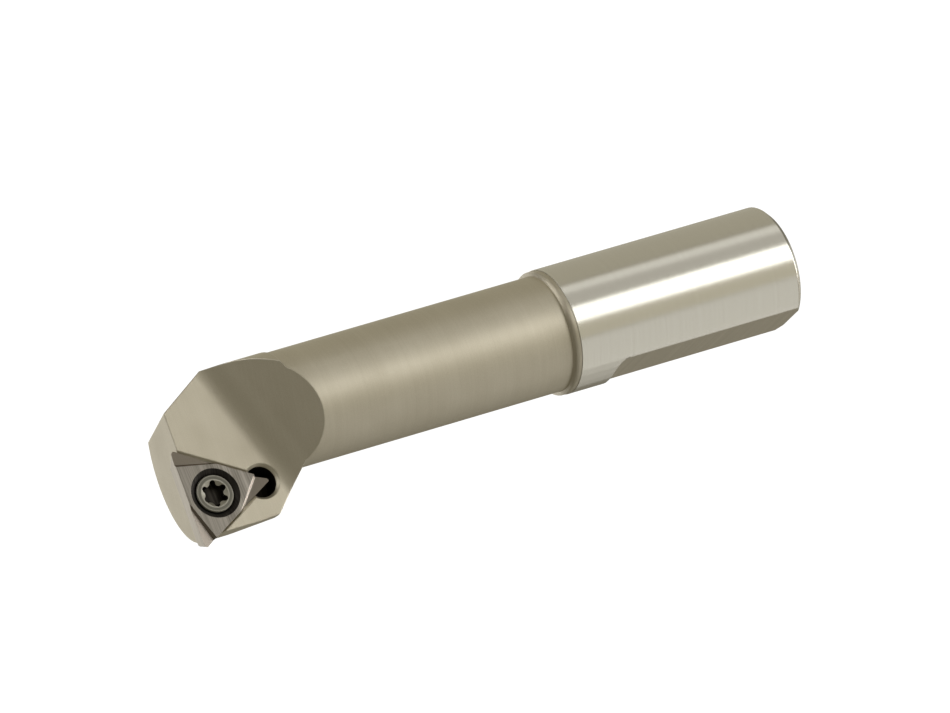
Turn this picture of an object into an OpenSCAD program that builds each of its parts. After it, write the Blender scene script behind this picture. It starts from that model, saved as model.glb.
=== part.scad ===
// Indexable boring bar: a round clamping shank, a thinner neck and an eccentric head with one
// triangular carbide insert. The bar stands on its rear end: +Z runs along the shank axis to the head,
// +X points to the cutting tip, and +Y is the direction that the rake face looks.

/* [Shank] */
// Diameter of the ground shank
shank_d = 20; // [16:0.5:25]
// Length of the ground shank, from the rear end
shank_l = 40; // [34:1:60]
// Chamfer at the rear end
rear_chamfer = 0.8; // [0.3:0.1:1.5]
// Length of the blasted collar between the ground shank and the neck
collar_l = 1; // [0.5:0.1:2]
// How far the blasted collar lies below the ground surface
collar_drop = 0.08; // [0.02:0.01:0.2]

/* [Clamping flat] */
// Depth of the flat below the ground surface
flat_depth = 1.35; // [0.8:0.05:2.5]
// Length of the flat from the rear end to the start of its run-out
flat_l = 31.5; // [20:0.5:33]
// Radius of the cutter that leaves the run-out at the front of the flat
flat_runout_r = 2.5; // [1.5:0.5:6]

/* [Neck] */
// Diameter of the neck
neck_d = 18.5; // [14:0.5:19.5]
// Length of the neck, from the shoulder to the back of the head
neck_l = 47.1; // [35:0.5:70]

/* [Head] */
// Diameter of the eccentric head
head_d = 25.4; // [24:0.1:28]
// Offset of the head from the shank axis, towards the cutting tip
head_offset_x = 3; // [2.2:0.05:3.5]
// Offset of the head from the shank axis, away from the rake side
head_offset_y = 1.25; // [0.6:0.05:1.8]
// Angle of the shoulder at the back of the head
head_shoulder_angle = 44; // [35:1:60]
// Radius about the shank axis at which the shoulder ends
shoulder_r = 15.45; // [14.5:0.05:16]
// Taper of the head's side in front of the shoulder, until it meets the full head
shoulder_taper = 3.3; // [1:0.1:8]
// Gap along the axis between the insert's front edge and the front face, measured beside the tip
front_setback = 1.05; // [0.6:0.05:1.4]
// Angle by which the front face leans back on the side away from the tip
front_lead = 2.3; // [1:0.1:5]
// Angle by which the front face leans back below the rake face
front_relief = 6.2; // [2:0.1:9]
// Distance of the front bevel from the shank axis, on the front face
bevel_start = 4.8; // [3:0.1:7]
// Angle of the front bevel to the shank axis
bevel_angle = 30.5; // [20:0.5:45]
// Angle by which the front bevel leans in below the rake face
bevel_relief = 6.5; // [2:0.5:10]

/* [Chip gullet] */
// Distance from the insert's centre back to where the gullet wall would meet the rake face
gullet_back = 10.7; // [9.5:0.1:16]
// Angle of the gullet wall to the rake face
gullet_slope = 55; // [40:1:75]
// Angle of the gullet wall to the square of the shank axis, seen on the rake face
gullet_turn = 18; // [0:1:25]
// Radius between the gullet wall and the rake face
gullet_r = 7; // [3:0.5:9]

/* [Insert] */
// Diameter of the circle that touches the three sides of the insert
insert_ic = 9.525; // [9.2:0.005:10]
// Thickness of the insert
insert_t = 3.97; // [3.6:0.01:4.76]
// Nose radius at each corner
nose_r = 0.4; // [0.2:0.1:0.8]
// Relief angle of the flanks
relief_angle = 11; // [7:1:15]
// Distance of the cutting tip from the shank axis
tip_reach = 17.25; // [16.6:0.05:17.8]
// Distance of the cutting tip from the shoulder, along the shank axis
tip_l = 67.35; // [66.8:0.05:68.2]
// Lead of the cutting tip over the rest of the front edge
lead_angle = 2; // [0:0.5:5]
// Radius of the narrow part of the insert's hole
hole_r = 2.2; // [2.15:0.05:2.3]
// Radius of the rounded mouth of the insert's hole
mouth_r = 3; // [2.6:0.1:3.2]
// Depth at which the rounded mouth meets the narrow part
mouth_depth = 2.75; // [2.4:0.05:2.85]

/* [Chip grooves] */
// Distance from a corner to the groove's step, along the side that has no groove
groove_short = 2.75; // [1.5:0.1:3.2]
// Distance from a corner to the end of the groove, along the side that has it
groove_long = 7.6; // [5:0.1:7.8]
// Angle at which the groove's floor drops away from the cutting edge
groove_rake = 15; // [8:1:20]
// Angle at which the groove's floor falls along the cutting edge, away from the corner
groove_fall = 2.5; // [0:0.5:4]
// Angle of the groove's step to the top face's normal
groove_step = 38; // [20:1:50]

/* [Insert pocket] */
// Clearance between the insert's flanks and the pocket's two walls
pocket_gap = 0.04; // [0.02:0.01:0.1]
// Edge break along the pocket's two walls
pocket_break = 0.3; // [0.1:0.05:0.5]
// Radius of the relief hole at the insert's rear corner
corner_hole_r = 2.5; // [2:0.1:3]
// Distance of the relief hole from the insert's centre
corner_hole_back = 7.95; // [7.2:0.05:8.6]
// Depth of the relief hole below the pocket's floor
corner_hole_sink = 0.6; // [0.2:0.1:1.2]
// Chamfer round the relief hole
corner_hole_break = 0.45; // [0.2:0.05:0.6]

/* [Screw] */
// Outer diameter of the screw's thread
screw_d = 4; // [3.5:0.1:4.2]
// Diameter of the screw's head
screw_head_d = 6.06; // [5.6:0.02:6.4]
// Angle of the conical seat under the head
screw_cone_angle = 60; // [50:1:70]
// Depth of the head's top below the insert's top face
screw_sink = 0.2; // [0.1:0.05:0.4]
// Length of the thread below the pocket's floor
screw_grip = 6; // [4:0.5:7]
// Chamfer at the screw's point
screw_point = 0.5; // [0.2:0.1:0.8]
// Edge break round the top of the head
screw_rim_break = 0.12; // [0.05:0.01:0.2]
// Clearance between the thread and the tapped hole
thread_gap = 0.05; // [0.02:0.01:0.1]
// Clearance between the conical seat and the insert
seat_gap = 0.02; // [0.01:0.01:0.05]
// Radius over the lobes of the six-lobe socket
socket_r = 2.16; // [1.8:0.01:2.2]
// Radius between the lobes of the six-lobe socket
socket_web_r = 1.5; // [1.2:0.01:1.6]
// Radius of one lobe of the socket
lobe_r = 0.45; // [0.3:0.01:0.5]
// Depth of the socket
socket_depth = 1.7; // [1:0.1:2]
// Depth of the countersink that eases the socket's mouth
socket_ease = 0.4; // [0.1:0.05:0.6]
// Angle at which the tightened screw's socket happens to stand
socket_turn = 23; // [0:1:59]

/* [Hidden] */
$fn = 96;
fine = 32;
far = 60;
eps = 0.01;

shank_r = shank_d / 2;
neck_r = neck_d / 2;
head_r = head_d / 2;
collar_r = shank_r - collar_drop;
shoulder_z = shank_l + collar_l;

// Corners of the insert as seen on its top face, with its front side turned by the lead angle
corner_angles = [60, -60, 180];
inradius = insert_ic / 2;
nose_centre = insert_ic - 2 * nose_r;
flank_run = insert_t * tan(relief_angle);
tip_angle = corner_angles[0] - lead_angle;
insert_x = tip_reach - nose_r - nose_centre * sin(tip_angle);
insert_l = tip_l - nose_r - nose_centre * cos(tip_angle);

// The front face passes behind the insert's front edge
front_l = insert_l + inradius / cos(lead_angle) - front_setback - insert_x * tan(front_lead);

// The screw's cone touches the rounded mouth of the hole at one circle
cone_half = screw_cone_angle / 2;
mouth_centre = hole_r + mouth_r;
touch_r = mouth_centre - mouth_r * cos(cone_half) - seat_gap;
touch_z = -mouth_depth + mouth_r * sin(cone_half);
screw_r = screw_d / 2;
screw_head_r = screw_head_d / 2;
cone_top_z = touch_z + (screw_head_r - touch_r) / tan(cone_half);
cone_foot_z = touch_z - (touch_r - screw_r) / tan(cone_half);
screw_end_z = -insert_t - screw_grip;

// Rake frame: x along the shank to the front, y to the cutting tip, z out of the rake face
module on_rake() {
    translate([0, 0, shoulder_z]) rotate([-90, -90, 0]) children();
}

// The insert's own frame, centred on its hole with its top face at z = 0
module at_insert() {
    on_rake() translate([insert_l, insert_x, 0]) rotate([0, 0, -lead_angle]) children();
}

// Everything on the inner side of a plane that stands off by dist at z = 0 and leans by lean
module half_space(dist, turn, lean) {
    rotate([0, lean, turn])
        translate([dist * cos(lean) - 2 * far, -far, -far]) cube(2 * far);
}

// Everything on the outer side of such a plane
module beyond(dist, turn, lean) {
    rotate([0, lean, turn]) translate([dist * cos(lean), -far, -far]) cube(2 * far);
}

module turned_blank() {
    cylinder(r1 = shank_r - rear_chamfer, r2 = shank_r, h = rear_chamfer);
    translate([0, 0, rear_chamfer]) cylinder(r = shank_r, h = shank_l - rear_chamfer);
    translate([0, 0, shank_l]) cylinder(r = collar_r, h = collar_l);
    translate([0, 0, shank_l]) cylinder(r = neck_r, h = collar_l + neck_l + eps);
}

// Eccentric cylinder whose back end runs out in a shoulder that is coaxial with the shank
module head_blank() {
    shoulder_run = (shoulder_r - neck_r) / tan(head_shoulder_angle);
    head_l = tip_l + insert_ic - neck_l;
    translate([0, 0, shoulder_z + neck_l]) intersection() {
        translate([head_offset_x, -head_offset_y, 0]) cylinder(r = head_r, h = head_l);
        rotate_extrude() polygon([
            [0, 0],
            [neck_r, 0],
            [shoulder_r, shoulder_run],
            [shoulder_r + (head_l - shoulder_run) * tan(shoulder_taper), head_l],
            [0, head_l]
        ]);
    }
}

// The flat is milled with a round cutter that leaves a hollow run-out at its front end
module clamping_flat() {
    floor_x = shank_r - flat_depth;
    translate([floor_x, -shank_r, -eps]) cube([shank_d, shank_d, flat_l + eps]);
    translate([floor_x + flat_runout_r, 0, flat_l]) rotate([90, 0, 0])
        cylinder(r = flat_runout_r, h = shank_d, center = true);
}

// Section of the gullet across its wall: x forwards, y out of the rake face
module gullet_section() {
    run = gullet_r * tan(gullet_slope / 2);
    translate([run, gullet_r]) circle(r = gullet_r);
    polygon([
        [run, 0],
        [far, 0],
        [far, far],
        [-far / tan(gullet_slope), far],
        [-run * cos(gullet_slope), run * sin(gullet_slope)],
        [run, gullet_r]
    ]);
}

module gullet() {
    on_rake() translate([insert_l - gullet_back, 0, 0]) rotate([90, 0, gullet_turn])
        linear_extrude(height = 2 * far, center = true) gullet_section();
}

// Front face and front bevel, both leaning in below the rake face
module front_cuts() {
    on_rake() translate([front_l, 0, 0]) beyond(0, -front_lead, front_relief);
    on_rake() translate([front_l - bevel_start * tan(front_lead), -bevel_start, 0])
        beyond(0, bevel_angle - 90, bevel_relief);
}

// Two leaning walls and a floor hold the insert; the front and the tip side are open
module insert_pocket() {
    wall = inradius + pocket_gap;
    at_insert() intersection() {
        half_space(wall, -120, relief_angle);
        half_space(wall, 120, relief_angle);
        translate([-insert_ic, -insert_ic, -insert_t]) cube([3 * insert_ic, 3 * insert_ic, far]);
    }
    at_insert() intersection() {
        half_space(wall + pocket_break, -120, 45);
        half_space(wall + pocket_break, 120, 45);
        translate([-insert_ic, -insert_ic, -pocket_break]) cube([3 * insert_ic, 3 * insert_ic, far]);
    }
}

module corner_hole() {
    depth = insert_t + corner_hole_sink;
    at_insert() translate([-corner_hole_back, 0, 0]) {
        translate([0, 0, -depth]) cylinder(r = corner_hole_r, h = depth + eps);
        translate([0, 0, -corner_hole_break])
            cylinder(r1 = corner_hole_r, r2 = corner_hole_r + corner_hole_break, h = corner_hole_break);
        cylinder(r = corner_hole_r + corner_hole_break, h = far);
    }
}

module tapped_hole() {
    at_insert() translate([0, 0, -far]) cylinder(r = screw_r + thread_gap, h = far);
}

module boring_bar() {
    color([0.70, 0.67, 0.60]) difference() {
        union() {
            turned_blank();
            head_blank();
        }
        clamping_flat();
        gullet();
        front_cuts();
        insert_pocket();
        corner_hole();
        tapped_hole();
    }
}

// Triangle with rounded corners whose flanks lean in towards the bottom face
module insert_body() {
    foot = nose_centre - 2 * flank_run;
    hull() for (a = corner_angles) {
        rotate([0, 0, a]) translate([nose_centre, 0, -eps]) cylinder(r = nose_r, h = eps, $fn = fine);
        rotate([0, 0, a]) translate([foot, 0, -insert_t]) cylinder(r = nose_r, h = eps, $fn = fine);
    }
}

// Rounded mouth and narrow throat of the hole, as ground into such inserts
module insert_hole() {
    open_r = mouth_centre - sqrt(pow(mouth_r, 2) - pow(mouth_depth, 2));
    rotate_extrude() difference() {
        union() {
            translate([0, -mouth_depth]) square([open_r, mouth_depth + eps]);
            translate([0, -insert_t - eps]) square([hole_r, insert_t + eps]);
        }
        translate([mouth_centre, -mouth_depth]) circle(r = mouth_r);
    }
}

// One groove: its floor hangs from the cutting edge, and a step ends it inwards
module chip_groove() {
    step_x = insert_ic - groove_short * cos(30);
    step_y = groove_short * sin(30);
    end_x = insert_ic - groove_long * cos(30);
    end_y = -groove_long * sin(30);
    step_turn = atan2(step_y - end_y, step_x - end_x) - 90;
    intersection() {
        // Above the floor, which hangs from the cutting edge at the corner
        rotate([0, 0, -60]) translate([inradius, inradius * tan(60), 0])
            rotate([groove_fall, -groove_rake, 0]) translate([-far, -far, 0]) cube(2 * far);
        translate([end_x, end_y, 0]) rotate([0, -groove_step, step_turn])
            translate([0, -far, -far]) cube(2 * far);
    }
}

module cutting_insert() {
    color([0.58, 0.56, 0.54]) at_insert() difference() {
        insert_body();
        insert_hole();
        for (a = corner_angles) rotate([0, 0, a]) chip_groove();
    }
}

module socket_section() {
    ring_r = socket_r - lobe_r;
    web_r = ring_r * sin(30) - lobe_r + 0.18;
    rotate(socket_turn) {
        difference() {
            circle(r = ring_r + lobe_r / 2);
            for (k = [0:5])
                rotate(60 * k + 30) translate([socket_web_r + web_r, 0]) circle(r = web_r, $fn = fine);
        }
        for (k = [0:5]) rotate(60 * k) translate([ring_r, 0]) circle(r = lobe_r, $fn = fine);
    }
}

module insert_screw() {
    color([0.45, 0.45, 0.40]) at_insert() difference() {
        rotate_extrude() polygon([
            [0, screw_end_z],
            [screw_r - screw_point, screw_end_z],
            [screw_r, screw_end_z + screw_point],
            [screw_r, cone_foot_z],
            [screw_head_r, cone_top_z],
            [screw_head_r, -screw_sink - screw_rim_break],
            [screw_head_r - screw_rim_break, -screw_sink],
            [0, -screw_sink]
        ]);
        translate([0, 0, -screw_sink - socket_depth])
            linear_extrude(height = socket_depth + eps) socket_section();
        translate([0, 0, -screw_sink - socket_ease])
            cylinder(r1 = socket_web_r, r2 = socket_r, h = socket_ease + eps);
    }
}

boring_bar();
cutting_insert();
insert_screw();
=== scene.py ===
import math

import bmesh
import bpy
import numpy as np
from mathutils import Matrix, Vector


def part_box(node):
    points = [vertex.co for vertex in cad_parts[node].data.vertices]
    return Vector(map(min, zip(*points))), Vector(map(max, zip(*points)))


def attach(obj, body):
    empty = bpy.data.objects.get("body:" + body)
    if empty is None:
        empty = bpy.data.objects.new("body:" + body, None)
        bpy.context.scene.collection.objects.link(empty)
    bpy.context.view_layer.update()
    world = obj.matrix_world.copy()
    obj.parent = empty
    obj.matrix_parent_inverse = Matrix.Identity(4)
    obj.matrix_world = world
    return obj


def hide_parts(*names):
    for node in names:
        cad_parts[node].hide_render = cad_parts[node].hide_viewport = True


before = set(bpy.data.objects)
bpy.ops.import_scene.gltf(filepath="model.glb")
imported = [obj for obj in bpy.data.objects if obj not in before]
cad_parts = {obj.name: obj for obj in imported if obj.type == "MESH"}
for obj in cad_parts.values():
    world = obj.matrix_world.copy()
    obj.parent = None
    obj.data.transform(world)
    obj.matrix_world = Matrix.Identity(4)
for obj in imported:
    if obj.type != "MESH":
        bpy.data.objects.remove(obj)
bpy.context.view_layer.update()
millimetre = 0.001


# Camera

photoView = {
    "place": (0.43075, 1.78444, 0.9409),  # where the photograph was taken from, in the row's frame
    "right": (0.3712, 0.3401, -0.8640),  # the picture's right, and the way back to the camera
    "back": (0.2111, 0.8752, 0.4352),
    "lens": 500.0,  # millimetres: a long lens, so almost no perspective
    "sensor": 36.0,
    "clip": (0.1, 20.0),  # metres
}


def addCamera(view):
    lens = bpy.data.cameras.new("photoCamera")
    lens.lens = view["lens"]
    lens.sensor_width = view["sensor"]
    lens.clip_start, lens.clip_end = view["clip"]
    camera = bpy.data.objects.new("photoCamera", lens)
    back = Vector(view["back"]).normalized()
    right = Vector(view["right"])
    right = (right - back * right.dot(back)).normalized()
    turn = Matrix((right, back.cross(right), back)).transposed()
    camera.matrix_world = Matrix.Translation(view["place"]) @ turn.to_4x4()
    bpy.context.scene.collection.objects.link(camera)
    bpy.context.scene.camera = camera


addCamera(photoView)
print("camera placed")


# Node helpers

# Adds one node, sets its own values, and fills or links the inputs that are named or numbered.
def addNode(tree, kind, inputs=None, **settings):
    node = tree.nodes.new(kind)
    for name, value in settings.items():
        setattr(node, name, value)
    for name, value in (inputs or {}).items():
        if isinstance(value, bpy.types.NodeSocket):
            tree.links.new(value, node.inputs[name])
        else:
            node.inputs[name].default_value = value
    return node


def mathNode(tree, operation, *values, clamp=False):
    node = addNode(tree, "ShaderNodeMath", dict(enumerate(values)), operation=operation, use_clamp=clamp)
    return node.outputs[0]


# Two values added in shares that make up one: share is the second one's.
def weigh(tree, first, second, share):
    kept = mathNode(tree, "MULTIPLY", first, 1.0 - share)
    return mathNode(tree, "ADD", kept, mathNode(tree, "MULTIPLY", second, share))


# Carries a value from the range low to high over to toLow to toHigh, softly at both ends.
def ramp(tree, value, low, high, toLow=0.0, toHigh=1.0):
    node = addNode(
        tree, "ShaderNodeMapRange",
        {"Value": value, "From Min": low, "From Max": high, "To Min": toLow, "To Max": toHigh},
        interpolation_type="SMOOTHSTEP",
    )
    return node.outputs["Result"]


def noise(tree, place, scale, detail, roughness=0.5):
    node = addNode(
        tree, "ShaderNodeTexNoise",
        {"Vector": place, "Scale": scale, "Detail": detail, "Roughness": roughness},
    )
    return node.outputs[0]


def mixColour(tree, share, first, second):
    node = addNode(tree, "ShaderNodeMix", data_type="RGBA", blend_type="MIX")
    for socket, value in ((node.inputs[0], share), (node.inputs[6], first), (node.inputs[7], second)):
        if isinstance(value, bpy.types.NodeSocket):
            tree.links.new(value, socket)
        else:
            socket.default_value = value
    return node.outputs[2]


numberSocket = "NodeSocketFloat"
vectorSocket = "NodeSocketVector"


# An empty node group with named sockets. inputs gives each socket its kind and first value.
def newGroup(name, inputs, outputs):
    group = bpy.data.node_groups.new(name, "ShaderNodeTree")
    for label, (kind, value) in inputs.items():
        socket = group.interface.new_socket(label, in_out="INPUT", socket_type=kind)
        if value is not None:
            socket.default_value = value
    for label, kind in outputs.items():
        group.interface.new_socket(label, in_out="OUTPUT", socket_type=kind)
    return group, group.nodes.new("NodeGroupInput"), group.nodes.new("NodeGroupOutput")


def fillGroup(tree, group, inputs):
    return addNode(tree, "ShaderNodeGroup", inputs, node_tree=group)


# Shared effects

# The edges that this marks are worn, and their brighter worn colour is also a painted highlight.
wearAndSheenPattern = {
    "samples": 6,
    "turned": (0.01, 0.16),  # one minus the dot product, where wear starts and where it is full
    "broken": (0.30, 0.62),  # the part of the noise that takes wear from its least to its most
    "least": 0.35,
    "detail": 3.0,
}


# Mask of worn edges, which are also painted brighter as a highlight: one minus the dot product of the true
# normal and the normal rounded over Radius.
def buildEdgeWearAndSheen(look):
    group, given, out = newGroup(
        "edgeWearAndSheen",
        {
            "Radius": (numberSocket, 0.0003),
            "Strength": (numberSocket, 1.0),
            "Breaks": (numberSocket, 900.0),
            "Vector": (vectorSocket, None),
        },
        {"Mask": numberSocket},
    )
    rounded = addNode(
        group, "ShaderNodeBevel", {"Radius": given.outputs["Radius"]}, samples=look["samples"]
    )
    plain = addNode(group, "ShaderNodeNewGeometry")
    same = addNode(
        group, "ShaderNodeVectorMath", {0: rounded.outputs[0], 1: plain.outputs["Normal"]},
        operation="DOT_PRODUCT",
    )
    turned = ramp(group, mathNode(group, "SUBTRACT", 1.0, same.outputs["Value"]), *look["turned"])
    breaks = noise(group, given.outputs["Vector"], given.outputs["Breaks"], look["detail"])
    broken = ramp(group, breaks, *look["broken"], look["least"], 1.0)
    wearAndSheen = mathNode(group, "MULTIPLY", turned, broken)
    mask = mathNode(group, "MULTIPLY", wearAndSheen, given.outputs["Strength"], clamp=True)
    group.links.new(mask, out.inputs["Mask"])
    return group


grainPattern = {
    "detail": 2.0,
    "fineRoughness": 0.6,
    "coarseScale": 0.2,  # the coarser dimples are five times the size of the fine ones
    "cloudScale": 140.0,
    "cloudDetail": 4.0,
    "fineShare": 0.6,  # of the tone, the rest is clouds
}


# Dimples left by blasting: two noises, one as fine as the beads and one five times coarser.
def buildBlastGrain(look):
    group, given, out = newGroup(
        "blastGrain",
        {"Vector": (vectorSocket, None), "Grain": (numberSocket, 6500.0), "Coarse": (numberSocket, 0.35)},
        {"Height": numberSocket, "Tone": numberSocket},
    )
    place = given.outputs["Vector"]
    fine = noise(group, place, given.outputs["Grain"], look["detail"], look["fineRoughness"])
    wideScale = mathNode(group, "MULTIPLY", given.outputs["Grain"], look["coarseScale"])
    wide = noise(group, place, wideScale, look["detail"])
    height = mathNode(group, "MULTIPLY_ADD", wide, given.outputs["Coarse"], fine)
    clouds = noise(group, place, look["cloudScale"], look["cloudDetail"])
    group.links.new(height, out.inputs["Height"])
    group.links.new(weigh(group, clouds, fine, look["fineShare"]), out.inputs["Tone"])
    return group


linePattern = {
    "detail": 4.0,
    "roughness": 0.65,
    "bandScale": 0.12,  # bands are about eight times as wide as the lines
    "bandDetail": 2.0,
    "bandShare": 0.4,  # of the tone, the rest is lines
}


# Parallel tool marks: noise read in coordinates squeezed across the marks and stretched along them.
def buildFineLines(look):
    group, given, out = newGroup(
        "fineLines",
        {"Vector": (vectorSocket, None), "Along": (numberSocket, 60.0), "Across": (numberSocket, 9000.0)},
        {"Height": numberSocket, "Tone": numberSocket},
    )
    axes = addNode(group, "ShaderNodeSeparateXYZ", {0: given.outputs["Vector"]})
    squeezed = addNode(group, "ShaderNodeCombineXYZ", {
        0: mathNode(group, "MULTIPLY", axes.outputs[0], given.outputs["Along"]),
        1: mathNode(group, "MULTIPLY", axes.outputs[1], given.outputs["Along"]),
        2: mathNode(group, "MULTIPLY", axes.outputs[2], given.outputs["Across"]),
    })
    lines = noise(group, squeezed.outputs[0], 1.0, look["detail"], look["roughness"])
    broad = addNode(
        group, "ShaderNodeVectorMath", {0: squeezed.outputs[0], "Scale": look["bandScale"]},
        operation="SCALE",
    )
    bands = noise(group, broad.outputs[0], 1.0, look["bandDetail"])
    group.links.new(lines, out.inputs["Height"])
    group.links.new(weigh(group, lines, bands, look["bandShare"]), out.inputs["Tone"])
    return group


# Rings left by turning an end face: distance from the axis, which runs along Y through Middle, in metres.
# Bands is the same distance cut by noise, for a tone that changes from ring to ring.
def buildTurnedRings():
    group, given, out = newGroup(
        "turnedRings",
        {
            "Vector": (vectorSocket, None),
            "Middle": (vectorSocket, (0.0, 0.0, 0.0)),
            "Rings": (numberSocket, 9000.0),
        },
        {"Distance": numberSocket, "Bands": numberSocket},
    )
    offset = addNode(
        group, "ShaderNodeVectorMath", {0: given.outputs["Vector"], 1: given.outputs["Middle"]},
        operation="SUBTRACT",
    )
    flat = addNode(
        group, "ShaderNodeVectorMath", {0: offset.outputs[0], 1: (1.0, 0.0, 1.0)}, operation="MULTIPLY"
    )
    distance = addNode(group, "ShaderNodeVectorMath", {0: flat.outputs[0]}, operation="LENGTH")
    scaled = mathNode(group, "MULTIPLY", distance.outputs["Value"], given.outputs["Rings"])
    bands = addNode(
        group, "ShaderNodeTexNoise", {"W": scaled, "Scale": 1.0, "Detail": 3.0}, noise_dimensions="1D"
    )
    group.links.new(distance.outputs["Value"], out.inputs["Distance"])
    group.links.new(bands.outputs[0], out.inputs["Bands"])
    return group


turnedRings = buildTurnedRings()
edgeWearAndSheen = buildEdgeWearAndSheen(wearAndSheenPattern)
blastGrain = buildBlastGrain(grainPattern)
fineLines = buildFineLines(linePattern)
print("shared effects built")


# Materials

plainTones = (0.3, 0.7)  # the part of a tone that runs from a look's dark colour to its light one
roughTones = (0.25, 0.75)  # the part that runs from its roughest value to its smoothest


def newMaterial(name):
    material = bpy.data.materials.new(name)
    material.use_nodes = True
    tree = material.node_tree
    tree.nodes.clear()
    shader = tree.nodes.new("ShaderNodeBsdfPrincipled")
    out = tree.nodes.new("ShaderNodeOutputMaterial")
    tree.links.new(shader.outputs[0], out.inputs["Surface"])
    place = tree.nodes.new("ShaderNodeTexCoord")
    return material, tree, shader, place.outputs["Object"]


# Colour, roughness and bump from a tone and a height, with worn edges brighter and smoother, the brightness
# partly wear and partly a painted highlight.
def finishSurface(tree, shader, place, look, tone, height):
    wearAndSheenMask = fillGroup(tree, edgeWearAndSheen, {
        "Vector": place, "Radius": look["wearAndSheenRadius"], "Strength": look["wearAndSheenStrength"],
    }).outputs["Mask"]
    tones = ramp(tree, tone, *look.get("toneRange", plainTones))
    base = mixColour(tree, tones, (*look["dark"], 1.0), (*look["light"], 1.0))
    wearAndSheen = mixColour(tree, wearAndSheenMask, base, (*look["wearAndSheen"], 1.0))
    tree.links.new(wearAndSheen, shader.inputs["Base Color"])
    smoothest, roughest = look["rough"]
    rough = ramp(tree, tone, *roughTones, roughest, smoothest)
    polish = mathNode(tree, "MULTIPLY", wearAndSheenMask, look["wornSmooth"])
    tree.links.new(mathNode(tree, "SUBTRACT", rough, polish), shader.inputs["Roughness"])
    rounded = addNode(
        tree, "ShaderNodeBevel", {"Radius": look["rounding"]}, samples=look.get("roundingSteps", 6)
    )
    bump = addNode(tree, "ShaderNodeBump", {
        "Strength": look["bump"], "Distance": look["depth"], "Height": height, "Normal": rounded.outputs[0],
    })
    tree.links.new(bump.outputs[0], shader.inputs["Normal"])
    shader.inputs["Metallic"].default_value = 1.0


# In every look, colours are linear and lengths are metres. grain, along, across and rings count per metre,
# and rough gives the smoothest value and the roughest.
blastedLook = {
    "light": (0.648, 0.602, 0.492),
    "dark": (0.575, 0.529, 0.420),
    "wearAndSheen": (0.900, 0.860, 0.750),
    "rough": (0.44, 0.54),
    "wornSmooth": 0.16,
    "bump": 0.22,
    "depth": 0.00003,
    "grain": 6500.0,
    "along": 40.0,
    "across": 4200.0,
    "lineShare": 0.35,  # of the tone, the rest is grain
    "wearAndSheenRadius": 0.00022,
    "wearAndSheenStrength": 0.8,
    "rounding": 0.00026,
}
# The collar shades as one hollow curve that runs up to the edge of the shank, and its colour is a little
# darker than the neck's: painted shade.
shadedCollarLook = dict(
    blastedLook, light=(0.60, 0.555, 0.45), dark=(0.53, 0.485, 0.385), rough=(0.34, 0.42),
    wearAndSheenStrength=0.0, rounding=0.0012,
)


# Blasting over the lines of the turning before it.
def blastedSteel(name, look):
    material, tree, shader, place = newMaterial(name)
    grain = fillGroup(tree, blastGrain, {"Vector": place, "Grain": look["grain"]})
    lines = fillGroup(tree, fineLines, {"Vector": place, "Along": look["along"], "Across": look["across"]})
    tone = weigh(tree, grain.outputs["Tone"], lines.outputs["Tone"], look["lineShare"])
    finishSurface(tree, shader, place, look, tone, grain.outputs["Height"])
    return material


groundLook = {
    "light": (0.718, 0.698, 0.628),
    "dark": (0.692, 0.670, 0.602),
    "wearAndSheen": (0.850, 0.820, 0.720),
    "rough": (0.23, 0.25),
    "wornSmooth": 0.06,
    "bump": 0.02,
    "depth": 0.00001,
    "along": 30.0,
    "across": 14000.0,
    "wearAndSheenRadius": 0.0002,
    "wearAndSheenStrength": 0.7,
    "rounding": 0.00015,
    "anisotropy": 0.6,
    "anisotropyTurn": 0.25,
}


# Cylindrical grinding runs round the shank, so the shine is sharp round it and long along it.
def groundSteel(name, look):
    material, tree, shader, place = newMaterial(name)
    lines = fillGroup(tree, fineLines, {"Vector": place, "Along": look["along"], "Across": look["across"]})
    finishSurface(tree, shader, place, look, lines.outputs["Tone"], lines.outputs["Height"])
    shader.inputs["Anisotropic"].default_value = look["anisotropy"]
    shader.inputs["Anisotropic Rotation"].default_value = look["anisotropyTurn"]
    tangent = addNode(tree, "ShaderNodeTangent", direction_type="RADIAL", axis="Z")
    tree.links.new(tangent.outputs[0], shader.inputs["Tangent"])
    return material


# Straight marks of a cutter, a drill or a wheel.
def markedMetal(name, look):
    material, tree, shader, place = newMaterial(name)
    lines = fillGroup(tree, fineLines, {"Vector": place, "Along": look["along"], "Across": look["across"]})
    finishSurface(tree, shader, place, look, lines.outputs["Tone"], lines.outputs["Height"])
    return material


flatLook = {
    "light": (0.680, 0.630, 0.520),
    "dark": (0.580, 0.535, 0.430),
    "wearAndSheen": (0.820, 0.780, 0.660),
    "rough": (0.36, 0.46),
    "wornSmooth": 0.1,
    "bump": 0.25,
    "depth": 0.00002,
    "along": 60.0,
    "across": 5200.0,
    "wearAndSheenRadius": 0.0002,
    "wearAndSheenStrength": 0.8,
    "rounding": 0.0001,
}
# The tapped hole, its thread and the screw's shank in it are coloured darker than the milled flat: painted
# shade.
boreShadeLook = dict(
    flatLook, light=(0.46, 0.42, 0.34), dark=(0.30, 0.27, 0.21), wearAndSheenStrength=0.5, across=2600.0
)
# The insides of the relief hole and of the screw's socket are coloured near black: painted shade.
holeShadeLook = {
    "light": (0.075, 0.068, 0.058),
    "dark": (0.030, 0.027, 0.023),
    "wearAndSheen": (0.300, 0.270, 0.220),
    "rough": (0.45, 0.65),
    "wornSmooth": 0.05,
    "bump": 0.3,
    "depth": 0.00003,
    "along": 60.0,
    "across": 2600.0,
    "wearAndSheenRadius": 0.0001,
    "wearAndSheenStrength": 0.3,
    "rounding": 0.0001,
}
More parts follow.
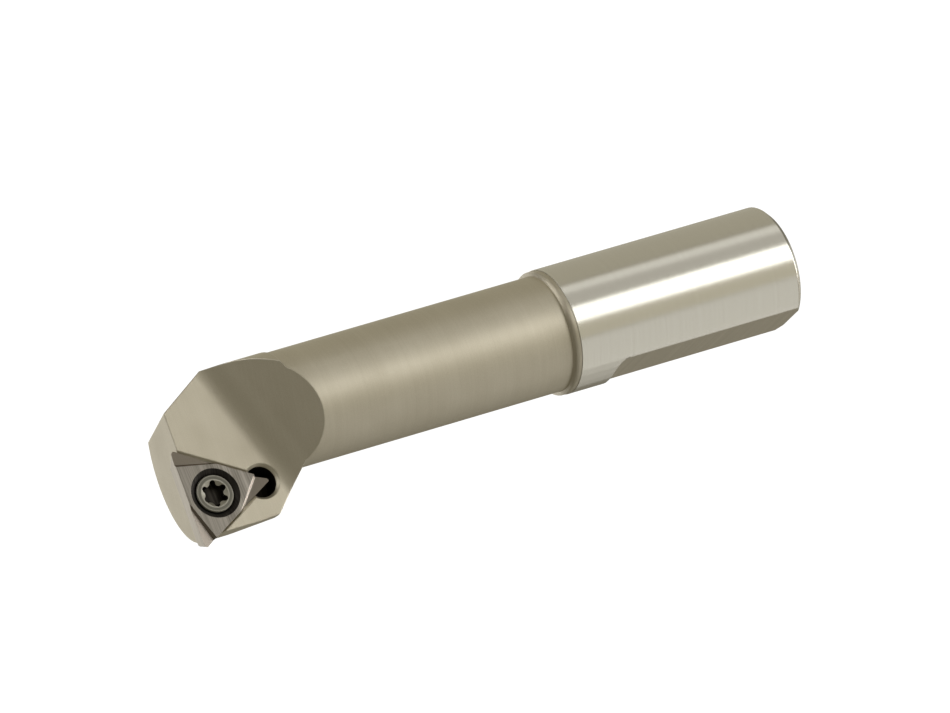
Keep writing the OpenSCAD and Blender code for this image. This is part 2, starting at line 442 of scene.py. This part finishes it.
# The inside of the insert's hole is coloured near black: painted shade.
insertHoleShadeLook = dict(holeShadeLook, light=(0.060, 0.055, 0.050), dark=(0.020, 0.018, 0.016), across=4000.0)
carbideLook = {
    "light": (0.340, 0.314, 0.272),
    "dark": (0.165, 0.149, 0.126),
    "toneRange": (0.34, 0.66),
    "wearAndSheen": (0.700, 0.650, 0.580),
    "rough": (0.32, 0.44),
    "wornSmooth": 0.1,
    "bump": 0.3,
    "depth": 0.00001,
    "along": 60.0,
    "across": 4200.0,
    "wearAndSheenRadius": 0.00006,
    "wearAndSheenStrength": 0.5,
    "rounding": 0.0001,
}
grooveLook = dict(
    carbideLook, light=(0.41, 0.365, 0.32), dark=(0.32, 0.285, 0.24), rough=(0.34, 0.40), bump=0.0,
    toneRange=(0.1, 0.9), rounding=0.00002, wearAndSheenStrength=0.0,
)
# The steps at the ends of the grooves are coloured darker than the ground top: painted shade.
stepShadeLook = dict(
    carbideLook, light=(0.20, 0.170, 0.135), dark=(0.16, 0.136, 0.108), rough=(0.20, 0.24), bump=0.0,
    toneRange=(0.1, 0.9), rounding=0.00002, wearAndSheenStrength=0.0,
)
# The one step that faces down the bar is coloured far lighter than the other steps: a painted highlight, on
# top of the light that its panel gives.
paintedGlintLook = dict(
    stepShadeLook, light=(0.84, 0.78, 0.72), dark=(0.80, 0.74, 0.68), rough=(0.32, 0.34), rounding=0.00025,
    roundingSteps=16,
)
flankLook = dict(
    carbideLook, light=(0.40, 0.360, 0.290), dark=(0.36, 0.322, 0.26), rough=(0.36, 0.44), bump=0.1,
    wearAndSheenStrength=0.2, across=5000.0,
)
screwLook = {
    "light": (0.800, 0.770, 0.660),
    "dark": (0.160, 0.154, 0.128),
    "toneRange": (0.15, 1.15),
    "rim": (0.00262, 0.00280, 0.0, 0.27),  # distances from the axis, and the tones that they run between
    "lip": (0.00250, 0.00228, 0.0, 0.25),
    "web": (0.00227, 0.00217, 0.0, 0.45),
    "rings": 6000.0,
    "ringShare": 0.35,
    "wearAndSheen": (0.660, 0.640, 0.540),
    "rough": (0.40, 0.52),
    "wornSmooth": 0.12,
    "bump": 0.2,
    "depth": 0.00002,
    "wearAndSheenRadius": 0.00010,
    "wearAndSheenStrength": 0.9,
    "rounding": 0.00006,
}

blasted = blastedSteel("blastedSteel", blastedLook)
collar = blastedSteel("shadedBlastedCollar", shadedCollarLook)
ground = groundSteel("groundSteel", groundLook)
flat = markedMetal("milledFlat", flatLook)
bore = markedMetal("tappedBore", boreShadeLook)
paintedHoleShade = markedMetal("paintedHoleShade", holeShadeLook)
carbide = markedMetal("groundCarbide", carbideLook)
groove = markedMetal("grooveCarbide", grooveLook)
step = markedMetal("stepShadeCarbide", stepShadeLook)
glint = markedMetal("paintedGlintCarbide", paintedGlintLook)
flank = markedMetal("flankCarbide", flankLook)
insertHoleShade = markedMetal("insertHoleShadeCarbide", insertHoleShadeLook)


# The screw's head from its edge inwards: a painted highlight on the rim, painted shade on the ring, and
# painted highlights on the lip and webs at the socket, all over turned rings.
def screwHeadSteel(name, look, middle):
    material, tree, shader, place = newMaterial(name)
    rings = fillGroup(tree, turnedRings, {"Vector": place, "Middle": middle, "Rings": look["rings"]})
    distance = rings.outputs["Distance"]
    rim = ramp(tree, distance, *look["rim"])
    lip = ramp(tree, distance, *look["lip"])
    web = ramp(tree, distance, *look["web"])
    paintedHighlights = mathNode(tree, "MAXIMUM", mathNode(tree, "MAXIMUM", rim, lip), web)
    bands = mathNode(tree, "MULTIPLY", rings.outputs["Bands"], look["ringShare"])
    tone = mathNode(tree, "ADD", paintedHighlights, bands)
    finishSurface(tree, shader, place, look, tone, rings.outputs["Bands"])
    return material


screwLow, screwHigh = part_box("insert_screw")
screwMiddle = (screwLow + screwHigh) / 2
screwSteel = screwHeadSteel("screwSteel", screwLook, tuple(screwMiddle))
print("materials built")


# Finished copies of the solids, with their edges broken

merging = {
    "doubles": 2e-6,  # metres: the solid's loose triangles join where their corners are closer than this
    "slivers": 1e-6,
    "plane": math.radians(0.4),  # neighbours turned by less than this become one face
    "smooth": math.radians(24.0),  # and by less than this, one curved surface
    "sharp": math.radians(28.0),  # edges turned by more than this are rounded
    "flatFirst": 80,  # how far the large faces keep the shading flat beside a rounding
}


# A merged copy of a solid whose sharp edges are rounded. finishes gives each region of its faces a material,
# and regionOf gives each face the number of its region, from its middle in millimetres and its normal.
def finishedCopy(node, name, finishes, regionOf, width, segments, shareOf=None):
    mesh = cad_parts[node].data.copy()
    mesh.name = name
    shape = bmesh.new()
    shape.from_mesh(mesh)
    bmesh.ops.remove_doubles(shape, verts=shape.verts, dist=merging["doubles"])
    bmesh.ops.dissolve_degenerate(shape, edges=shape.edges, dist=merging["slivers"])
    bmesh.ops.dissolve_limit(
        shape, angle_limit=merging["plane"], verts=shape.verts, edges=shape.edges,
        use_dissolve_boundaries=False,
    )
    for face in shape.faces:
        face.smooth = True
    for edge in shape.edges:
        edge.smooth = len(edge.link_faces) == 2 and edge.calc_face_angle(0.0) < merging["smooth"]
    if shareOf:
        weight = shape.edges.layers.float.new("bevel_weight_edge")
        for edge in shape.edges:
            if not edge.smooth:
                edge[weight] = shareOf((edge.verts[0].co + edge.verts[1].co) / (2 * millimetre))
    shape.to_mesh(mesh)
    shape.free()
    for old in [a.name for a in mesh.attributes if a.name == "custom_normal"]:
        mesh.attributes.remove(mesh.attributes[old])
    piece = bpy.data.objects.new(name, mesh)
    bpy.context.scene.collection.objects.link(piece)
    mesh.materials.clear()
    for material in finishes.values():
        mesh.materials.append(material)
    count = len(mesh.polygons)
    centres = np.empty(count * 3)
    normals = np.empty(count * 3)
    mesh.polygons.foreach_get("center", centres)
    mesh.polygons.foreach_get("normal", normals)
    number = {finish: place for place, finish in enumerate(finishes)}
    region = regionOf(centres.reshape(-1, 3) / millimetre, normals.reshape(-1, 3), number)
    mesh.polygons.foreach_set("material_index", region.astype(np.int32))
    mesh.update()
    rounding = piece.modifiers.new("edgeBreak", "BEVEL")
    rounding.width = width * millimetre
    rounding.segments = segments
    rounding.limit_method = "WEIGHT" if shareOf else "ANGLE"
    rounding.angle_limit = merging["sharp"]
    rounding.use_clamp_overlap = shareOf is None
    rounding.miter_outer = "MITER_ARC"
    smoothing = piece.modifiers.new("flatFacesFirst", "WEIGHTED_NORMAL")
    smoothing.mode = "FACE_AREA"
    smoothing.weight = merging["flatFirst"]
    smoothing.keep_sharp = True
    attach(piece, "root")
    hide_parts(node)
    return piece


barRegions = {  # millimetres, and parts of a normal
    "groundLength": 40.0,  # the ground shank, then the blasted collar, then the neck and head
    "collarEnd": 41.01,
    "seam": 0.02,
    "headStart": 60.0,
    "shankRadius": 9.95,
    "flatStart": 0.5,
    "flatFacing": 0.3,  # X of the flat's normals, and more
    "endFacing": 0.9,  # Z of the rear end's normals, towards the rear, and more
    "screwHole": (9.45, 103.33, 2.35),  # X and Z of the middle, and the reach of the inside
    "reliefHole": (9.73, 95.38, 2.62),
    "seatDepth": -4.02,  # Y of the insert's seat: the tapped hole lies deeper
    "reliefTop": 0.6,
    "reliefDepth": (-4.8, -4.3),  # Y of the floor of the relief hole
    "wallFacing": 0.3,  # Y of the normals of a hole's wall, and less
    "floorFacing": 0.9,
}


def regionOfBar(centres, normals, number):
    look = barRegions
    region = np.full(len(centres), number["blasted"])
    x, y, z = centres.T
    low = z < look["groundLength"] + look["seam"]
    region[low] = number["ground"]
    region[(z > look["groundLength"] - look["seam"]) & (z < look["collarEnd"])] = number["collar"]
    inside = np.hypot(x, y) < look["shankRadius"]
    facing = normals[:, 0] > look["flatFacing"]
    region[low & facing & inside & (z > look["flatStart"])] = number["flat"]
    region[low & (normals[:, 2] < -look["endFacing"])] = number["flat"]
    wall = np.abs(normals[:, 1]) < look["wallFacing"]
    across, along, reach = look["screwHole"]
    near = np.hypot(x - across, z - along) < reach
    region[wall & near & (y < look["seatDepth"])] = number["bore"]
    across, along, reach = look["reliefHole"]
    near = np.hypot(x - across, z - along) < reach
    deepest, highest = look["reliefDepth"]
    floor = (y > deepest) & (y < highest) & (normals[:, 1] > look["floorFacing"])
    region[near & ((wall & (y < look["reliefTop"]) & (y > deepest)) | floor)] = number["relief"]
    return region


barEdges = {  # millimetres
    "width": 0.10,
    "ledgeReach": 0.5,  # from the ledge between shank and collar, which is lower than the others
    "ledgeShare": 0.3,
}


# The turned edges are rounded in the shape itself. Those of the head are rounded by its surface alone,
# because the long thin facets of the gullet would cross in a rounding.
def shareOfBar(middle):
    if abs(middle.z - barRegions["groundLength"]) < barEdges["ledgeReach"]:
        return barEdges["ledgeShare"]
    return 0.0 if middle.z > barRegions["headStart"] else 1.0


barFinishes = {
    "blasted": blasted, "ground": ground, "collar": collar, "flat": flat, "relief": paintedHoleShade, "bore": bore,
}
bar = finishedCopy("boring_bar", "finishedBar", barFinishes, regionOfBar, barEdges["width"], 2, shareOfBar)


# Distance of each face from the screw's axis, in millimetres.
def fromScrewAxis(centres):
    middle = screwMiddle / millimetre
    return np.hypot(centres[:, 0] - middle.x, centres[:, 2] - middle.z)


insertRegions = {  # millimetres, and parts of a normal
    "topFacing": 0.9995,  # Y of the ground top's normals, and more
    "grooveFacing": 0.3,
    "stepFacing": (0.5, 0.75),  # Y of the normals of the steps at the ends of the grooves
    # The step picked out here also gets a painted highlight in its colour.
    "glintFacing": 0.4,  # X of the one step that faces down the bar and catches the light
    "holeReach": 3.95,
    "holeDepth": -3.96,
    "edge": 0.02,
}


def regionOfInsert(centres, normals, number):
    look = insertRegions
    upward = normals[:, 1]
    least, most = look["stepFacing"]
    stepped = (upward > least) & (upward < most)
    region = np.full(len(centres), number["top"])
    region[(upward > look["grooveFacing"]) & (upward < look["topFacing"])] = number["groove"]
    region[stepped] = number["step"]
    region[stepped & (normals[:, 0] > look["glintFacing"])] = number["glint"]
    region[upward < 0.0] = number["flank"]
    inHole = (fromScrewAxis(centres) < look["holeReach"]) & (centres[:, 1] > look["holeDepth"])
    region[inHole & (upward < look["topFacing"])] = number["hole"]
    return region


insertFinishes = {
    "top": carbide, "groove": groove, "hole": insertHoleShade, "flank": flank, "step": step, "glint": glint,
}
insert = finishedCopy(
    "cutting_insert", "finishedInsert", insertFinishes, regionOfInsert, insertRegions["edge"], 1
)

screwRegions = {  # millimetres
    "socketReach": 2.2,
    "socketDepth": (-3.0, -0.75),  # Y: the threaded shank and its end lie deeper
    "edge": 0.04,
}


def regionOfScrew(centres, normals, number):
    look = screwRegions
    deepest, highest = look["socketDepth"]
    y = centres[:, 1]
    region = np.full(len(centres), number["head"])
    inSocket = (fromScrewAxis(centres) < look["socketReach"]) & (y > deepest) & (y < highest)
    region[inSocket] = number["socket"]
    region[y < deepest] = number["shank"]
    return region


screwFinishes = {"head": screwSteel, "socket": paintedHoleShade, "shank": bore}
screw = finishedCopy("insert_screw", "finishedScrew", screwFinishes, regionOfScrew, screwRegions["edge"], 2)
print("solids dressed")


# Thread of the tapped hole, where it shows behind the screw

threadLook = {  # millimetres and turns
    "middle": (9.45, 103.33),  # X and Z of the hole's axis
    "pitch": 0.7,
    "wall": 2.05,  # radius of the hole
    "sink": 0.06,  # how far the ridge is rooted in the wall
    "ridge": 0.26,
    "start": -10.05,  # Y just behind the screw's end
    "turns": 4.2,
    "taper": 6.0,  # full height is reached after one sixth of a turn from either end
    "head": (3.0, -1.25, 12.7),  # X and Y of the head's axis and its radius, for the hole's open end
    "margin": 0.12,
    "fade": 0.15,  # depth over which the ridge rises from the margin
    "perTurn": 96,
    "points": 5,  # across the ridge
}


# A helical ridge on the wall of the hole, on a grid of one row for each step along the helix and five points
# across it. Point k of a row lies at Y = start - pitch * (turn + k / 4), at a radius that falls from the wall
# to the crest and back as 1 - |k - 2| / 2. The crest sinks into the wall where the helix nears the open end.
def threadSurface(look):
    rows = int(look["turns"] * look["perTurn"]) + 1
    wide = look["points"]
    turn = np.linspace(0.0, look["turns"], rows)[:, None]
    across = np.linspace(0.0, 1.0, wide)[None, :]
    angle = 2 * np.pi * turn + 0 * across
    depth = look["start"] - look["pitch"] * (turn + across)
    headX, headY, headRadius = look["head"]
    x = look["middle"][0] + look["wall"] * np.cos(angle)
    openEnd = headY - np.sqrt(headRadius ** 2 - (x - headX) ** 2)
    room = np.clip((depth - openEnd - look["margin"]) / look["fade"], 0.0, 1.0)
    ends = np.clip(np.minimum(turn, look["turns"] - turn) * look["taper"], 0.0, 1.0)
    crest = (1 - np.abs(across - 0.5) * 2) * room * ends
    radius = look["wall"] + look["sink"] - (look["ridge"] + look["sink"]) * crest
    points = np.stack([
        look["middle"][0] + radius * np.cos(angle),
        np.maximum(depth, openEnd + look["margin"]),
        look["middle"][1] + radius * np.sin(angle),
    ], axis=-1)
    first = np.arange(rows - 1)[:, None] * wide + np.arange(wide - 1)[None, :]
    faces = np.stack([first, first + 1, first + wide + 1, first + wide], axis=-1)
    return points.reshape(-1, 3) * millimetre, faces.reshape(-1, 4)


def addThread(look):
    points, faces = threadSurface(look)
    mesh = bpy.data.meshes.new("boreThread")
    mesh.from_pydata(points.tolist(), [], faces.tolist())
    mesh.shade_smooth()
    mesh.materials.append(bore)
    thread = bpy.data.objects.new("boreThread", mesh)
    bpy.context.scene.collection.objects.link(thread)
    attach(thread, "root")


addThread(threadLook)
print("thread added")


# Floor and light

studio = {
    "floorSize": 6.0,
    "floorColour": (0.86, 0.86, 0.86),
    "whiteness": 1.22,  # of floor and world as the camera sees them, as white as the photograph
    "whiteShare": 0.85,
    "bounce": 0.55,  # the floor's glow to all but the camera: the steel doesn't see it, it only shifts noise
    "bounceTint": (1.0, 0.97, 0.9),
    "air": 0.22,  # the world as the steel sees it
    "airTint": (1.0, 0.94, 0.76),
    "middle": (0.0, 0.0, 0.05),  # the point that all panels face, and their distance from it
    "distance": 0.9,
}
cool = (1.0, 1.0, 1.0)
warm = (1.0, 0.95, 0.78)
panels = {  # compass angle, height angle, width, height, glow, tint
    "keyPanel": (94.4, -38.0, 26.0, 32.0, 2.28, cool),
    "besideKeyPanel": (123.0, -25.0, 22.0, 44.0, 0.34, cool),
    "topEdgePanel": (144.5, -28.0, 15.0, 32.0, 0.68, cool),
    "farEdgePanel": (208.0, -26.0, 96.0, 40.0, 0.24, warm),
    "lowFrontPanel": (65.0, -30.0, 26.0, 32.0, 0.38, warm),
    "lowEdgePanel": (19.0, -28.0, 54.0, 26.0, 0.56, cool),
    "lowSidePanel": (340.6, -28.0, 15.6, 16.0, 0.44, cool),
    "lowerSidePanel": (325.0, -28.0, 15.0, 16.0, 0.31, cool),
    "lowestSidePanel": (307.5, -28.0, 20.0, 16.0, 0.26, cool),
    "endPanel": (252.0, 9.0, 70.0, 42.0, 0.93, cool),
    "topPanel": (32.0, 72.0, 50.0, 50.0, 0.05, cool),
    "rimPanel": (172.0, 50.0, 50.0, 38.0, 1.50, cool),
    "underPanel": (310.0, -66.0, 50.0, 50.0, 0.42, cool),
    "glintPanel": (72.0, -72.0, 30.0, 20.0, 4.50, cool),
}


# Only the camera sees the floor. The steel reflects the panels, which stand above and below its level.
def addFloor(look):
    half = look["floorSize"] / 2
    mesh = bpy.data.meshes.new("floor")
    square = [(-half, -half, 0), (half, -half, 0), (half, half, 0), (-half, half, 0)]
    mesh.from_pydata(square, [], [(0, 1, 2, 3)])
    floor = bpy.data.objects.new("floor", mesh)
    bpy.context.scene.collection.objects.link(floor)
    material = bpy.data.materials.new("paleFloor")
    material.use_nodes = True
    tree = material.node_tree
    tree.nodes.clear()
    diffuse = addNode(tree, "ShaderNodeBsdfDiffuse", {"Color": (*look["floorColour"], 1.0)})
    white = addNode(
        tree, "ShaderNodeEmission", {"Color": (1.0, 1.0, 1.0, 1.0), "Strength": look["whiteness"]}
    )
    dim = addNode(
        tree, "ShaderNodeEmission", {"Color": (*look["bounceTint"], 1.0), "Strength": look["bounce"]}
    )
    path = addNode(tree, "ShaderNodeLightPath")
    glow = addNode(
        tree, "ShaderNodeMixShader",
        {0: path.outputs["Is Camera Ray"], 1: dim.outputs[0], 2: white.outputs[0]},
    )
    both = addNode(
        tree, "ShaderNodeMixShader", {0: look["whiteShare"], 1: diffuse.outputs[0], 2: glow.outputs[0]}
    )
    out = addNode(tree, "ShaderNodeOutputMaterial")
    tree.links.new(both.outputs[0], out.inputs["Surface"])
    mesh.materials.append(material)
    floor.visible_glossy = False
    floor.visible_diffuse = False
    floor.visible_shadow = False


# A soft panel that faces the middle of the bar. Its compass and height angles, its width and its height
# are in degrees as the bar sees them, and its glow is the brightness of its face.
def addPanel(name, azimuth, elevation, wide, high, glow, tint):
    distance = studio["distance"]
    light = bpy.data.lights.new(name, "AREA")
    light.shape = "RECTANGLE"
    light.size = 2 * distance * math.tan(math.radians(wide / 2))
    light.size_y = 2 * distance * math.tan(math.radians(high / 2))
    light.energy = math.pi * light.size * light.size_y * glow
    light.color = tint
    panel = bpy.data.objects.new(name, light)
    east, up = math.radians(azimuth), math.radians(elevation)
    away = Vector((math.cos(up) * math.cos(east), math.cos(up) * math.sin(east), math.sin(up)))
    turn = away.to_track_quat("Z", "Y").to_matrix().to_4x4()
    panel.matrix_world = Matrix.Translation(Vector(studio["middle"]) + away * distance) @ turn
    bpy.context.scene.collection.objects.link(panel)


def addWorld(look):
    world = bpy.data.worlds.new("studioAir")
    world.use_nodes = True
    tree = world.node_tree
    air = tree.nodes["Background"]
    air.inputs["Color"].default_value = (*look["airTint"], 1.0)
    air.inputs["Strength"].default_value = look["air"]
    white = addNode(
        tree, "ShaderNodeBackground", {"Color": (1.0, 1.0, 1.0, 1.0), "Strength": look["whiteness"]}
    )
    path = addNode(tree, "ShaderNodeLightPath")
    seen = addNode(
        tree, "ShaderNodeMixShader",
        {0: path.outputs["Is Camera Ray"], 1: air.outputs[0], 2: white.outputs[0]},
    )
    tree.links.new(seen.outputs[0], tree.nodes["World Output"].inputs["Surface"])
    bpy.context.scene.world = world


addFloor(studio)
addWorld(studio)
for name, place in panels.items():
    addPanel(name, *place)
bpy.context.scene.view_settings.view_transform = "Standard"
print("studio lit")
